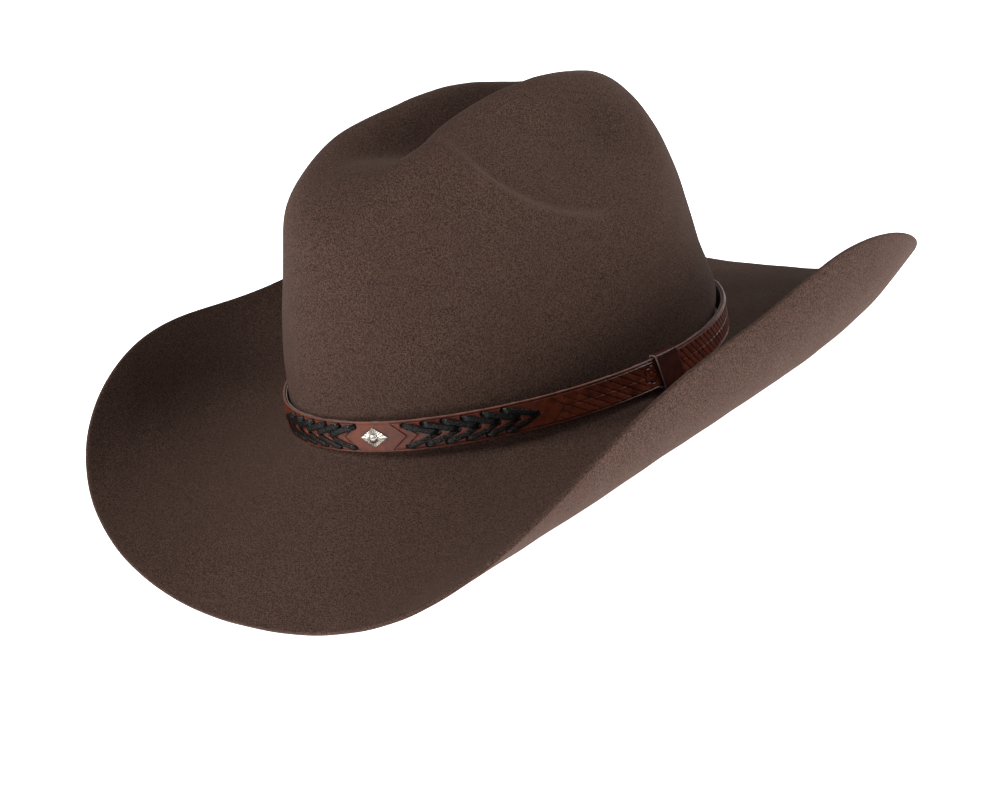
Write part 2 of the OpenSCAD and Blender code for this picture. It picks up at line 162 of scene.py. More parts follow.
def crown(a, t, full=1):
    """Points of the crown's outside: t is 0 at the brim and 90 degrees, in radians, at the middle of the top.

    The skins inside it leave out its fuller places: full is 0 for them.
    """
    power = 2 / profile_n(a)
    up = np.sin(t) ** power
    shoulder = fuller(a, up, **SHOULDER)
    fullness = fuller(a, up, **FULLNESS) * (1 - np.exp(-((up / 0.09) ** 2)))
    flat = oval_r(a) * np.cos(t).clip(0, 1) ** power * (1 + full * (shoulder + fullness))
    taper = np.where(np.cos(a) > 0, TAPER_FRONT, TAPER_BACK)
    y = -flat * np.cos(a) * (1 - taper * up)
    u = y / OVAL_HL
    pinch = CROWN_PINCH * up * up * np.clip((0.4 - u) / 1.4, 0, 1)
    x = flat * np.sin(a) * (1 - TAPER_SIDE * up) * (1 - pinch)
    v = x / OVAL_HW
    ridge = CROWN_H * (1 + RIDGE_RISE * u + RIDGE_BOW * u**2 + RIDGE_FAR * u**3 + RIDGE_LEFT * v + RIDGE_TWIST * v * u)
    x = x + CROWN_LEAN * up
    off = abs(x - CREASE_SHIFT - CREASE_SKEW * u) / CREASE_W
    z = up * ridge - CREASE_D * np.exp(-(((u - CREASE_AT) / CREASE_LEN) ** 4) - off**CREASE_SHARP) * up**6
    x = x - np.sign(x) * dent_depth(x, y, z) * (1 - np.exp(-((x / DENT_FADE) ** 2)))
    return np.stack([x, y, z], -1)


def brim_slope(a, s):
    """The brim's slope at a share s of its width, in radians."""
    root = ROOT_SLOPE + ROOT_FRONT * np.cos(a) + ROOT_ENDS * np.cos(2 * a) + ROOT_LEFT * np.sin(a)
    edge = (EDGE_SLOPE + EDGE_FRONT * np.cos(a) - SIDE_ROLL * np.cos(2 * a) + EDGE_THIRDS * np.cos(3 * a)
            + EDGE_CORNER * np.cos(4 * a) + EDGE_LEFT * np.sin(a) + EDGE_DIAGONAL * np.sin(2 * a)
            + EDGE_LEFT_CORNER * np.sin(3 * a))
    return np.radians(root + (edge - root) * s ** (ROLL_POWER + ROLL_POWER_ENDS * np.cos(2 * a)))


def brim_width(a):
    return (BRIM_W + WIDE_FRONT * np.cos(a) + WIDE_ENDS * np.cos(2 * a) + WIDE_CORNER * np.cos(4 * a)
            + WIDE_LEFT * np.sin(a) + WIDE_DIAGONAL * np.sin(2 * a))


def brim(a, steps):
    """Points of the brim's upper side, from the crown's foot outward."""
    s = (np.arange(steps) + 0.5) / steps
    slope = brim_slope(a, s[None, :])
    step = brim_width(a) / steps
    start = np.zeros_like(a)
    out = np.concatenate([start, np.cumsum(step * np.cos(slope), 1)], 1)
    z = np.concatenate([start, np.cumsum(step * np.sin(slope), 1)], 1)
    foot = oval_r(a)[..., None] * np.stack([np.sin(a), -np.cos(a)], -1)
    flat = foot + out[..., None] * oval_dir(a)
    return np.concatenate([flat, z[..., None]], -1)


def felt_outside(around, crown_rows, brim_rows, bend=6.0, soften=1.3):
    """The felt's outside as a grid, from the middle of the top to the brim's edge.

    A small round is made where crown and brim meet, from bend millimetres before to bend after.
    """
    a = circle(around)[:, None]
    foot = 720
    top = crown(a, np.radians(np.linspace(90, 0, foot + 1))[None, :])
    line = np.concatenate([top, brim(a, 400)[:, 1:]], 1)
    length = np.concatenate([np.zeros((around, 1)), np.cumsum(np.linalg.norm(np.diff(line, axis=1), axis=2), 1)], 1)
    length -= length[:, foot:foot + 1]
    shares = np.linspace(0, 1, crown_rows)
    near = np.arange(-bend + 1, bend, 1.0)
    sway = np.linspace(-2.6, 2.6, 11)
    weights = np.exp(-((sway / soften) ** 2) / 2)
    weights /= weights.sum()
    grid = []
    for i in range(around):
        rows = np.concatenate([
            length[i, 0] + shares * (-bend - length[i, 0]),
            near,
            bend + np.linspace(0, 1, brim_rows) * (length[i, -1] - bend),
        ])
        soft = np.clip(1 - (rows / bend) ** 2, 0, 1)
        query = rows[:, None] + sway[None, :] * soft[:, None]
        grid.append(np.stack([np.interp(query, length[i], line[i, :, k]) @ weights for k in range(3)], -1))
    return np.array(grid)


def unevenness(p):
    """A slight unevenness that hand shaping leaves in felt, in millimetres."""
    x, y, z = p[..., 0], p[..., 1], p[..., 2]
    slow = np.sin(x * 0.11 + 1.3 * np.sin(y * 0.06)) * np.sin(y * 0.09 + 0.7 + z * 0.05)
    quick = np.sin(x * 0.23 + y * 0.17 + 2.1) * np.sin(z * 0.26 - y * 0.13)
    return 0.16 * slow + 0.09 * quick


# ---------- the hatband's surface ----------

BAND_HW, BAND_HL = OVAL_HW + GAP_SIDE, OVAL_HL + GAP_END
END_C = BAND_HL - END_R
SIDE_R = (BAND_HW**2 + END_C**2 - END_R**2) / (2 * (BAND_HW - END_R))
SIDE_C = SIDE_R - BAND_HW
MEET = math.atan(SIDE_C / END_C)
STRAP_OUT = BACKING_T + STRAP_T
END_LEN = (END_R + STRAP_OUT) * MEET
SIDE_LEN = (SIDE_R + STRAP_OUT) * (math.pi - 2 * MEET)
HALF_BAND = 2 * END_LEN + SIDE_LEN
BAND_LEN = 2 * HALF_BAND


def facing(q):
    """The angle that the strap faces at a distance along it from the middle of the front."""
    turns = np.floor(q / BAND_LEN)
    knots = [0, END_LEN, END_LEN + SIDE_LEN, HALF_BAND, HALF_BAND + END_LEN, BAND_LEN - END_LEN, BAND_LEN]
    angles = [0, MEET, math.pi - MEET, math.pi, math.pi + MEET, TAU - MEET, TAU]
    return np.interp(q - turns * BAND_LEN, knots, angles) + turns * TAU


def on_band(q, out, z):
    """Points at a distance along the strap, outside the backing's inner side, and above the strap's foot."""
    a = facing(q)
    at_end = abs(np.sin(a)) * END_C < abs(np.cos(a)) * SIDE_C
    radius = np.where(at_end, END_R, SIDE_R) + out
    x = np.where(at_end, 0, -np.sign(np.sin(a)) * SIDE_C) + radius * np.sin(a)
    y = np.where(at_end, -np.sign(np.cos(a)) * END_C, 0) - radius * np.cos(a)
    return np.stack([x + BAND_LEFT, y + BAND_BACK, STRAP_Z + z + 0 * q], -1)


# ---------- meshes ----------

def piece(name, points, faces, material, body, attributes=None, closed=True):
    """A mesh object from points in millimetres, which rides on a CAD body. A closed one is made to face outward."""
    mesh = bpy.data.meshes.new(name)
    mesh.from_pydata((np.asarray(points, float).reshape(-1, 3) * MM).tolist(), [], [list(map(int, f)) for f in faces])
    mesh.validate()
    if closed:
        shell = bmesh.new()
        shell.from_mesh(mesh)
        bmesh.ops.recalc_face_normals(shell, faces=shell.faces)
        shell.to_mesh(mesh)
        shell.free()
    mesh.polygons.foreach_set("use_smooth", [True] * len(mesh.polygons))
    for key, values in (attributes or {}).items():
        mesh.attributes.new(key, "FLOAT", "POINT").data.foreach_set("value", np.asarray(values, np.float32).ravel())
    mesh.materials.append(material)
    obj = bpy.data.objects.new(name, mesh)
    bpy.context.scene.collection.objects.link(obj)
    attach(obj, body)
    return obj


def quads(rows, cols, wrap_rows=False, wrap_cols=False, start=0, flip=False):
    """Faces of a grid whose point number is start + row * cols + col."""
    i = np.arange(rows if wrap_rows else rows - 1)[:, None]
    j = np.arange(cols if wrap_cols else cols - 1)[None, :]
    i2, j2 = (i + 1) % rows, (j + 1) % cols
    corners = [i * cols + j, i2 * cols + j, i2 * cols + j2, i * cols + j2]
    faces = np.stack([np.broadcast_to(c, (i.shape[0], j.shape[1])) for c in corners], -1).reshape(-1, 4) + start
    return faces[:, ::-1] if flip else faces


def sweep(path, side, up, width, thick, count=14, square=0.5):
    """A flat strip with rounded edges along a path, closed at both ends; side and up are unit vectors."""
    turn = circle(count)
    c, s = np.cos(turn), np.sin(turn)
    across = np.sign(c) * abs(c) ** square / 2
    high = np.sign(s) * abs(s) ** 0.8 / 2
    points = (path[:, None] + side[:, None] * (across[None, :, None] * width[:, None, None])
              + up[:, None] * (high[None, :, None] * thick[:, None, None]))
    faces = quads(len(path), count, wrap_cols=True).tolist()
    faces.append(list(range(count)))
    faces.append(list(range(len(path) * count - 1, (len(path) - 1) * count - 1, -1)))
    return points.reshape(-1, 3), faces


def merge(parts):
    """Several (points, faces) in one."""
    points, faces, start = [], [], 0
    for p, f in parts:
        points.append(p)
        faces.extend([[i + start for i in face] for face in f])
        start += len(p)
    return np.concatenate(points), faces


# ---------- materials ----------

class Nodes:
    """Builds one material's node tree."""

    def __init__(self, name):
        self.material = bpy.data.materials.new(name)
        self.material.use_nodes = True
        self.tree = self.material.node_tree
        self.shader = self.tree.nodes["Principled BSDF"]
        self.coords = self.tree.nodes.new("ShaderNodeTexCoord").outputs["Object"]

    def link(self, a, b):
        self.tree.links.new(a, b)

    def node(self, kind, values=None, **settings):
        n = self.tree.nodes.new(kind)
        for key, value in settings.items():
            setattr(n, key, value)
        for key, value in (values or {}).items():
            if isinstance(value, bpy.types.NodeSocket):
                self.link(value, n.inputs[key])
            else:
                n.inputs[key].default_value = value
        return n

    def stretched(self, scale):
        return self.node("ShaderNodeMapping", {"Vector": self.coords, "Scale": scale}).outputs[0]

    def noise(self, scale, detail=2, rough=0.5, vector=None):
        values = {"Vector": vector or self.coords, "Scale": scale, "Detail": detail, "Roughness": rough}
        return self.node("ShaderNodeTexNoise", values).outputs["Fac"]

    def cells(self, scale):
        return self.node("ShaderNodeTexVoronoi", {"Vector": self.coords, "Scale": scale}).outputs["Distance"]

    def wave(self, scale, distortion, direction="Z"):
        values = {"Vector": self.coords, "Scale": scale, "Distortion": distortion}
        return self.node("ShaderNodeTexWave", values, bands_direction=direction).outputs["Fac"]

    def attribute(self, name):
        return self.node("ShaderNodeAttribute", attribute_name=name).outputs["Fac"]

    def math(self, operation, a, b, clamp=False):
        return self.node("ShaderNodeMath", {0: a, 1: b}, operation=operation, use_clamp=clamp).outputs[0]

    def remap(self, value, low, high, to_low=0.0, to_high=1.0):
        values = {"Value": value, "From Min": low, "From Max": high, "To Min": to_low, "To Max": to_high}
        return self.node("ShaderNodeMapRange", values).outputs[0]

    def mix(self, factor, a, b):
        n = self.node("ShaderNodeMix", data_type="RGBA")
        for socket, value in ((n.inputs[0], factor), (n.inputs[6], a), (n.inputs[7], b)):
            if isinstance(value, bpy.types.NodeSocket):
                self.link(value, socket)
            else:
                socket.default_value = (*value, 1) if isinstance(value, tuple) else value
        return n.outputs[2]

    def color(self, value):
        self.link(value, self.shader.inputs["Base Color"])

    def roughness(self, value):
        self.link(value, self.shader.inputs["Roughness"])

    def bump(self, height, distance, strength):
        """Adds a bump on top of those before it; distance is in millimetres."""
        values = {"Height": height, "Distance": distance * MM, "Strength": strength}
        before = self.shader.inputs["Normal"].links
        if before:
            values["Normal"] = before[0].from_socket
        self.link(self.node("ShaderNodeBump", values).outputs[0], self.shader.inputs["Normal"])

    def set(self, **values):
        for key, value in values.items():
            self.shader.inputs[key.replace("_", " ")].default_value = value
        return self.material


def felt_material():
    """Short-napped wool felt: a mottled dark brown with a soft sheen."""
    m = Nodes("felt")
    mottle = m.noise(1450, 3, 0.7)
    patch = m.noise(28, 3, 0.55)
    fibre = m.noise(2600, 2, 0.7)
    fleck = m.noise(2100, 2, 0.8)
    shade = m.math("ADD", m.math("MULTIPLY", mottle, 0.6), m.math("MULTIPLY", fleck, 0.6))
    # the nap attribute adds painted light along the side dent's lip and painted shade in its rear hollow
    shade = m.math("ADD", shade, m.math("MULTIPLY", m.attribute("nap"), 0.045))
    base = m.mix(m.remap(shade, 0.505, 0.695), (0.0165, 0.0085, 0.0063), (0.113, 0.065, 0.0495))
    m.color(m.mix(m.remap(patch, 0.3, 0.7, 0.0, 0.3), base, (0.053, 0.0283, 0.0216)))
    m.roughness(m.remap(mottle, 0.3, 0.7, 0.86, 0.98))
    m.bump(mottle, 0.35, 0.6)
    m.bump(fibre, 0.12, 0.5)
    return m.set(Sheen_Weight=0.12, Sheen_Roughness=0.4, Sheen_Tint=(0.62, 0.45, 0.37, 1), Specular_IOR_Level=0.12)


def leather_material(name, dark, lit, edge, rough=(0.34, 0.52), grain=700):
    """Smooth leather: darker in the tooling's cuts and low parts, and its cut edges are pale."""
    m = Nodes(name)
    cloud = m.noise(210, 5, 0.65)
    fine = m.cells(grain)
    base = m.mix(m.remap(cloud, 0.32, 0.68), dark, lit)
    tooled = m.mix(m.attribute("tooling"), base, tuple(c * 0.15 for c in dark))
    scuffs = m.remap(m.noise(420, 3, 0.6), 0.25, 0.75, 0.45, 1.0)
    m.color(m.mix(m.math("MULTIPLY", m.attribute("edge"), scuffs, clamp=True), tooled, edge))
    raw = m.math("MULTIPLY", m.attribute("edge"), 0.3)
    m.roughness(m.math("ADD", m.remap(cloud, 0.3, 0.7, *rough), raw, clamp=True))
    m.bump(fine, 0.10, 0.35)
    m.bump(m.noise(1500, 3, 0.6), 0.05, 0.5)
    return m.set(Specular_IOR_Level=0.36, Coat_Weight=0.08, Coat_Roughness=0.2)


def lace_material():
    """Black lace with a pebbled, slightly glossy face."""
    m = Nodes("lace")
    pebble = m.cells(1500)
    m.color(m.mix(m.remap(m.noise(500, 3, 0.6), 0.3, 0.7), (0.0025, 0.0025, 0.0025), (0.008, 0.0075, 0.007)))
    m.roughness(m.remap(pebble, 0.0, 0.6, 0.2, 0.34))
    m.bump(pebble, 0.22, 0.8)
    return m.set(Specular_IOR_Level=0.26)


def metal_material():
    """Antiqued silver, dark in its flutes."""
    m = Nodes("stud_metal")
    hollow = m.attribute("tooling")
    tarnish = m.noise(900, 3, 0.6)
    dirt = m.math("MULTIPLY", hollow, m.remap(tarnish, 0.2, 0.8, 0.5, 1.0), clamp=True)
    m.color(m.mix(dirt, (0.80, 0.75, 0.67), (0.10, 0.085, 0.07)))
    m.roughness(m.remap(tarnish, 0.3, 0.7, 0.26, 0.42))
    m.bump(tarnish, 0.05, 0.4)
    return m.set(Metallic=1.0)


def suede_material():
    """The split leather behind the strap, with a pale raw edge."""
    m = Nodes("backing_leather")
    nap = m.noise(1100, 4, 0.65)
    base = m.mix(m.remap(nap, 0.3, 0.7), (0.060, 0.040, 0.030), (0.13, 0.095, 0.075))
    m.color(m.mix(m.attribute("edge"), base, (0.24, 0.215, 0.19)))
    m.roughness(m.remap(nap, 0.3, 0.7, 0.75, 0.95))
    m.bump(nap, 0.15, 0.5)
    return m.set(Sheen_Weight=0.1)


def satin_material(name, dark, lit):
    """Satin: long floats in one direction, so it shines in streaks."""
    m = Nodes(name)
    streak = m.noise(180, 3, 0.6, vector=m.stretched((1, 1, 0.12)))
    thread = m.wave(2600 / 6, 0.6)
    m.color(m.mix(m.remap(streak, 0.3, 0.7), dark, lit))
    m.roughness(m.remap(streak, 0.3, 0.7, 0.28, 0.44))
    m.bump(thread, 0.04, 0.35)
    return m.set(Specular_IOR_Level=0.6, Sheen_Weight=0.4, Sheen_Roughness=0.3, Anisotropic=0.4)


def thread_material():
    """Pale thread, twisted from strands."""
    m = Nodes("thread")
    twist = m.wave(900, 1.0, "DIAGONAL")
    m.color(m.mix(twist, (0.30, 0.20, 0.11), (0.62, 0.47, 0.30)))
    m.roughness(m.remap(twist, 0, 1, 0.6, 0.85))
    m.bump(twist, 0.08, 0.6)
    return m.set(Sheen_Weight=0.2)


def tape_material():
    """Dark woven tape."""
    m = Nodes("tape")
    weave = m.math("MULTIPLY", m.wave(700, 0.2, "DIAGONAL"), m.noise(900, 2, 0.6))
    m.color(m.mix(m.remap(weave, 0.0, 0.6), (0.022, 0.013, 0.010), (0.085, 0.052, 0.042)))
    m.roughness(m.remap(weave, 0.0, 0.6, 0.7, 0.95))
    m.bump(weave, 0.12, 0.7)
    return m.set(Sheen_Weight=0.25)


def cord_material():
    """The clear plastic reed inside its tape."""
    m = Nodes("reed")
    cloud = m.noise(300, 3, 0.5)
    m.color(m.mix(cloud, (0.55, 0.50, 0.42), (0.75, 0.71, 0.62)))
    m.roughness(m.remap(cloud, 0.3, 0.7, 0.25, 0.45))
    return m.set(Specular_IOR_Level=0.5)


FELT = felt_material()
STRAP = leather_material(
    "strap_leather", dark=(0.060, 0.0090, 0.0030), lit=(0.175, 0.034, 0.0120), edge=(0.34, 0.20, 0.16))
KEEPER = leather_material(
    "keeper_leather", dark=(0.042, 0.0085, 0.0055), lit=(0.080, 0.020, 0.0135), edge=(0.42, 0.37, 0.32),
    rough=(0.30, 0.46))
LACE = lace_material()
METAL = metal_material()
SUEDE = suede_material()
SWEAT = leather_material(
    "sweatband_leather", dark=(0.135, 0.062, 0.030), lit=(0.230, 0.118, 0.062), edge=(0.30, 0.19, 0.11),
    rough=(0.42, 0.6), grain=1100)
SATIN = satin_material("satin", (0.36, 0.26, 0.15), (0.58, 0.46, 0.30))
RIBBON = satin_material("ribbon", (0.020, 0.011, 0.008), (0.055, 0.034, 0.026))
THREAD = thread_material()
TAPE = tape_material()
REED = cord_material()


# ---------- the felt: crown and brim in one piece ----------

def painted_dent_light_and_shade(p):
    """Painted light and shade on the felt: lighter along the dent's lip, darker down in its rear hollow."""
    y, z = p[..., 1], p[..., 2]
    light = np.exp(-(((inside_lip(y, z) - 0.03) / 0.075) ** 2)) * (1 - smooth(y, 0, 30)) * (1 - smooth(z, 108, 132))
    dark = np.exp(-(((y - HOLLOW_Y - 4) / 22) ** 2) - ((z - HOLLOW_Z - 4) / 15) ** 2)
    return (light - dark) * smooth(abs(p[..., 0]), 8, 20) * smooth(z, 55, 70)


def make_felt():
    around = 400
    outside = felt_outside(around, crown_rows=132, brim_rows=58)
    normal = grid_normals(outside)
    normal[:, 0] = unit(normal[:, 1].mean(0))
    outside = outside + normal * unevenness(outside)[..., None]
    outside[:, 0] = outside[:, 0].mean(0)
    inside = outside - normal * FELT_T
    outward = unit(outside[:, -1] - outside[:, -2])
    middle = (outside[:, -1] + inside[:, -1]) / 2
    turns = np.radians([62, 38, 13, -13, -38, -62])
    edge = np.stack([
        middle + normal[:, -1] * (FELT_T / 2 * math.sin(t)) + outward * (0.75 * math.cos(t) ** 0.6) for t in turns
    ], 1)
    rows = np.concatenate([outside[:, 1:], edge, inside[:, :0:-1]], 1).transpose(1, 0, 2)
    count = len(rows)
    tips = [outside[0, 0], inside[0, 0]]
    faces = quads(count, around, wrap_cols=True).tolist()
    first, last = count * around, count * around + 1
    for j in range(around):
        k = (j + 1) % around
        faces.append([first, j, k])
        faces.append([last, (count - 1) * around + k, (count - 1) * around + j])
    points = np.concatenate([rows.reshape(-1, 3), tips])
    # the nap attribute holds painted light and shade for the side dents
    obj = piece("felt_hat", points, faces, FELT, "hat", {"nap": painted_dent_light_and_shade(points)})
    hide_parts("felt_body")
    return obj


# ---------- the hatband ----------

def lace_marks(side, first, pitch):
    """For each laced arrow of one side: where its upper hole, its tip and its lower hole are along the strap."""
    tips = [STUD_AT + side * (first + i * pitch) for i in range(LACES)]
    return [(tip - side * 13.6, tip, tip - side * 13.0) for tip in tips]


LACE_Z = (11.3, 6.9, 1.9)  # the height of each arrow's upper hole, tip and lower hole
BOTH_LACES = [(1, lace_marks(1, *LACE_LEFT)), (-1, lace_marks(-1, *LACE_RIGHT))]
PAST_LACES = 12.6
NOTCH_LEFT = STUD_AT + LACE_LEFT[0] + (LACES - 1) * LACE_LEFT[1] + PAST_LACES
NOTCH_RIGHT = STUD_AT - LACE_RIGHT[0] - (LACES - 1) * LACE_RIGHT[1] - PAST_LACES
STAMP_MIDDLE, STAMP_ROW = 6.8, 5.2
TOOLED_LOW, TOOLED_HIGH = 1.3, 12.2
FLOWER_AT = (151.4, 7.2)
SUNK, HIGHEST = 0.2, 0.17  # the stamping stays low, so that the keeper passes over it


def weave_height(q, z, start, pitch, lean):
    """Basket-stamped leather: slanted pads in two rows, each with a short stop at its upper end."""
    phase = (q - start + lean * (z - 10.8) / 0.62) / pitch
    frac = phase - np.floor(phase)
    pad = 0.34 * (1 - abs(2 * frac - 1) ** 5) * (1 - 0.35 * frac)
    row = np.where(z > STAMP_MIDDLE, 0.0, 1.0)
    local = z - STAMP_MIDDLE + STAMP_ROW * row
    shift = lean * row * STAMP_ROW / 0.62
    stop_at = start + np.round((q - start - shift) / pitch) * pitch + shift
    stop = np.exp(-(((q - stop_at - lean * 0.45 * (local - 4.4)) / 0.22) ** 2))
    stop = stop * smooth(local, 2.4, 2.8) * (1 - smooth(local, 4.3, 4.7))
    return pad - 0.32 * stop - 0.2 * np.exp(-(((z - STAMP_MIDDLE) / 0.28) ** 2))


def line_cut(distance, width):
    """A line cut into leather, which pushes up a lip on each side."""
    return -0.42 * np.exp(-((distance / width) ** 2)) + 0.13 * np.exp(-(((abs(distance) - 2.1 * width) / 0.2) ** 2))


def strap_height(q, z):
    """Height of the tooling above the strap's face, and how much it counts as a groove. Distances in millimetres."""
    h = np.zeros_like(q)
    from_stud = q - STUD_AT
    groove = np.zeros_like(q)

    # the two border lines, which stop beside the stud's island
    off_island = smooth(abs(from_stud), 8.0, 8.6)
    for line in (TOOLED_LOW - 0.35, TOOLED_HIGH + 0.35):
        cut = np.exp(-(((z - line) / 0.24) ** 2)) * off_island
        h += line_cut(z - line, 0.24) * off_island
        groove = np.maximum(groove, cut)
    inner = smooth(z, TOOLED_LOW - 0.3, TOOLED_LOW + 0.2) * (1 - smooth(z, TOOLED_HIGH - 0.2, TOOLED_HIGH + 0.3))

    # the island's pointed ends, and the second point outside each
    rise = abs(z - 6.75) / 5.5
    for tip, reach in ((15.2, 1.0), (20.1, 0.62)):
        at = tip - 6.6 * np.clip(rise, 0, 1)
        ends = 1 - smooth(rise, reach - 0.05, reach + 0.05)
        cut = np.exp(-(((abs(from_stud) - at) / 0.33) ** 2)) * ends
        h += line_cut(abs(from_stud) - at, 0.33) * ends
        groove = np.maximum(groove, cut)

    # the laced panels lie a little lower, with a hole at each end of each lace
    in_laces = (smooth(from_stud, 15.5, 17) * (1 - smooth(q, NOTCH_LEFT - 14, NOTCH_LEFT - 9))
                + smooth(-from_stud, 15.5, 17) * (1 - smooth(-q, -NOTCH_RIGHT - 14, -NOTCH_RIGHT - 9)))
    h -= 0.12 * inner * in_laces
    for side, marks in BOTH_LACES:
        for hole, tip, low in marks:
            pits = ((hole - side * 0.5, LACE_Z[0], 1.25), (tip + side * 0.5, LACE_Z[1] - 0.3, 1.5),
                    (low - side * 0.2, LACE_Z[2], 1.0))
            for at, up, size in pits:
                pit = 1 - smooth(np.hypot(q - at, (z - up) * 1.1), size * 0.72, size * 1.1)
                h -= 1.1 * pit
                groove = np.maximum(groove, pit)

    # the basket stamping, from the notch beyond each laced panel
    notch = 5.6 * np.clip(rise, 0, 1)
    last = BAND_LEN + NOTCH_RIGHT + notch
    front = (smooth(q, NOTCH_LEFT - notch, NOTCH_LEFT - notch + 0.5)
             * (1 - smooth(q, FLOWER_AT[0] - 4.4, FLOWER_AT[0] - 4.0)))
    rear = smooth(q, KEEPER_AT + 4, KEEPER_AT + 4.5) * (1 - smooth(q, last - 0.5, last))
    woven = np.where(q < KEEPER_AT, weave_height(q, z, 106.9, 5.65, 1), weave_height(q, z, 172.5, 4.2, 0.6))
    area = inner * (front + rear)
    h += (woven - SUNK) * area
    low_part = np.clip(1 - (woven + 0.02) / 0.16, 0, 1) * area
    groove = np.maximum(groove, 0.8 * low_part)
    for at, side in ((NOTCH_LEFT, 1), (NOTCH_RIGHT + BAND_LEN, -1)):
        cut = np.exp(-(((side * (q - at) + notch) / 0.24) ** 2)) * inner
        h += line_cut(side * (q - at) + notch, 0.24) * inner
        groove = np.maximum(groove, cut)

    # a plain five-petalled flower before the keeper
    dx, dz = q - FLOWER_AT[0], z - FLOWER_AT[1]
    r, turn = np.hypot(dx, dz), np.arctan2(dz, dx)
    petal = 3.9 * (0.72 + 0.28 * abs(np.cos(2.5 * turn)))
    flower = (1 - smooth(r, petal - 0.5, petal)) * inner
    vein = np.exp(-((np.sin(2.5 * turn) * r / 0.5) ** 2)) * smooth(r, 1.0, 1.6)
    ring = np.exp(-(((r - petal - 0.25) / 0.26) ** 2)) * inner
    heart = 1 - smooth(r, 0.75, 1.1)
    h += 0.30 * flower * (1 - 0.6 * vein) * smooth(r, 0.9, 2.2) + 0.28 * heart - 0.38 * ring - SUNK * flower
    groove = np.maximum(groove, np.maximum(ring, 0.6 * vein * flower))
    return np.minimum(h, HIGHEST), groove


def make_strap():
    q = np.arange(KEEPER_AT + STRAP_BREAK / 2 - BAND_LEN, KEEPER_AT - STRAP_BREAK / 2, 0.33)
    wrapped = np.where(q < NOTCH_RIGHT + 9, q + BAND_LEN, q)
    face = np.linspace(0.55, STRAP_H - 0.55, 64)
    middle, behind = (STRAP_OUT + BACKING_T) / 2, BACKING_T
    # the strap's section goes up its face, over its top edge, down its back and under its foot
    top = [(STRAP_OUT - 0.1, STRAP_H - 0.22), (STRAP_OUT - 0.35, STRAP_H - 0.03), (middle, STRAP_H + 0.02),
           (behind + 0.3, STRAP_H - 0.04), (behind + 0.04, STRAP_H - 0.3)]
    back = [(behind, z) for z in (STRAP_H - 3, STRAP_H / 2, 3.0)]
    foot = [(behind + 0.04, 0.3), (behind + 0.3, 0.04), (middle, -0.02),
            (STRAP_OUT - 0.35, 0.03), (STRAP_OUT - 0.1, 0.22)]
    out = np.array([STRAP_OUT] * len(face) + [p[0] for p in top + back + foot])
    z = np.array(list(face) + [p[1] for p in top + back + foot])
    edge_row = np.array([0.0] * len(face) + [0.1, 0.5, 0.75, 0.6, 0.4] + [0.2] * 3 + [0.4, 0.6, 0.75, 0.5, 0.1])
    is_face = np.arange(len(z)) < len(face)
    along_face, up_face = np.meshgrid(wrapped, face, indexing="ij")
    height, groove = strap_height(along_face, up_face)
    roundness = -0.10 * (1 - smooth(face, 0.55, 1.5)) - 0.10 * smooth(face, STRAP_H - 1.5, STRAP_H - 0.55)
    outs = np.repeat(out[None, :], len(q), 0)
    outs[:, is_face] += np.maximum(height + roundness[None, :], 0.25 - STRAP_T)
    points = on_band(np.repeat(q[:, None], len(z), 1), outs, np.repeat(z[None, :], len(q), 0))
    tooling = np.zeros((len(q), len(z)))
    tooling[:, is_face] = groove
    edge = np.repeat(edge_row[None, :], len(q), 0)
    edge[0] = edge[-1] = 1
    faces = quads(len(q), len(z), wrap_cols=True, flip=True).tolist()
    faces.append(list(range(len(z))))
    faces.append([(len(q) - 1) * len(z) + i for i in range(len(z) - 1, -1, -1)])
    attributes = {"tooling": tooling, "edge": edge}
    obj = piece("band_strap_tooled", points, faces, STRAP, "hatband", attributes)
    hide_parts("band_strap")


def make_backing():
    q = np.linspace(0, BAND_LEN, 640, endpoint=False)
    low, high = 0.3, STRAP_H - 0.3
    mid = STRAP_H / 2
    shape = [(1.0, low + 0.3), (1.0, mid), (1.0, high - 0.3), (0.86, high - 0.05), (0.5, high + 0.05),
             (0.14, high - 0.05), (0.0, high - 0.3), (0.0, mid), (0.0, low + 0.3), (0.14, low + 0.05),
             (0.5, low - 0.05), (0.86, low + 0.05)]
    edge_row = [0.5, 0, 0.5, 1, 1, 1, 0.5, 0, 0.5, 1, 1, 1]
    out, z = np.array([p[0] for p in shape]), np.array([p[1] for p in shape])
    wave = 0.08 * np.sin(q * 0.31) + 0.05 * np.sin(q * 0.83 + 1)
    zz = z[None, :] + np.where(abs(z[None, :] - mid) > 5, wave[:, None], 0)
    outs = (0.94 * np.repeat(out[None, :], len(q), 0) + 0.02) * BACKING_T
    points = on_band(np.repeat(q[:, None], len(z), 1), outs, zz)
    faces = quads(len(q), len(z), wrap_rows=True, wrap_cols=True, flip=True)
    obj = piece("band_backing_suede", points, faces, SUEDE, "hatband",
                {"edge": np.repeat(np.array(edge_row)[None, :], len(q), 0), "tooling": np.zeros((len(q), len(z)))})
    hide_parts("band_backing")


def lace_arm(start, end, heights, widths, thick, bow):
    """One arm of lace on the strap's face, from start to end, both (along, z). Its height follows heights."""
    s = np.linspace(0, 1, 34)
    q = start[0] + (end[0] - start[0]) * s
    z = start[1] + (end[1] - start[1]) * s + bow * np.sin(math.pi * s)
    h = np.interp(s, [k for k, _ in heights], [v for _, v in heights])
    kernel = np.array([1, 2, 3, 2, 1]) / 9
    h = np.convolve(np.pad(h, 2, mode="edge"), kernel, "valid")
    width = np.interp(s, [k for k, _ in widths], [v for _, v in widths])
    path = on_band(q, STRAP_OUT + h, z)
    outward = unit(on_band(q, STRAP_OUT + 1.0, z) - on_band(q, STRAP_OUT, z))
    ahead = unit(np.gradient(path, axis=0))
    side = unit(np.cross(outward, ahead))
    up = np.cross(ahead, side)
    return sweep(path, side, up, width, np.full(len(s), thick))


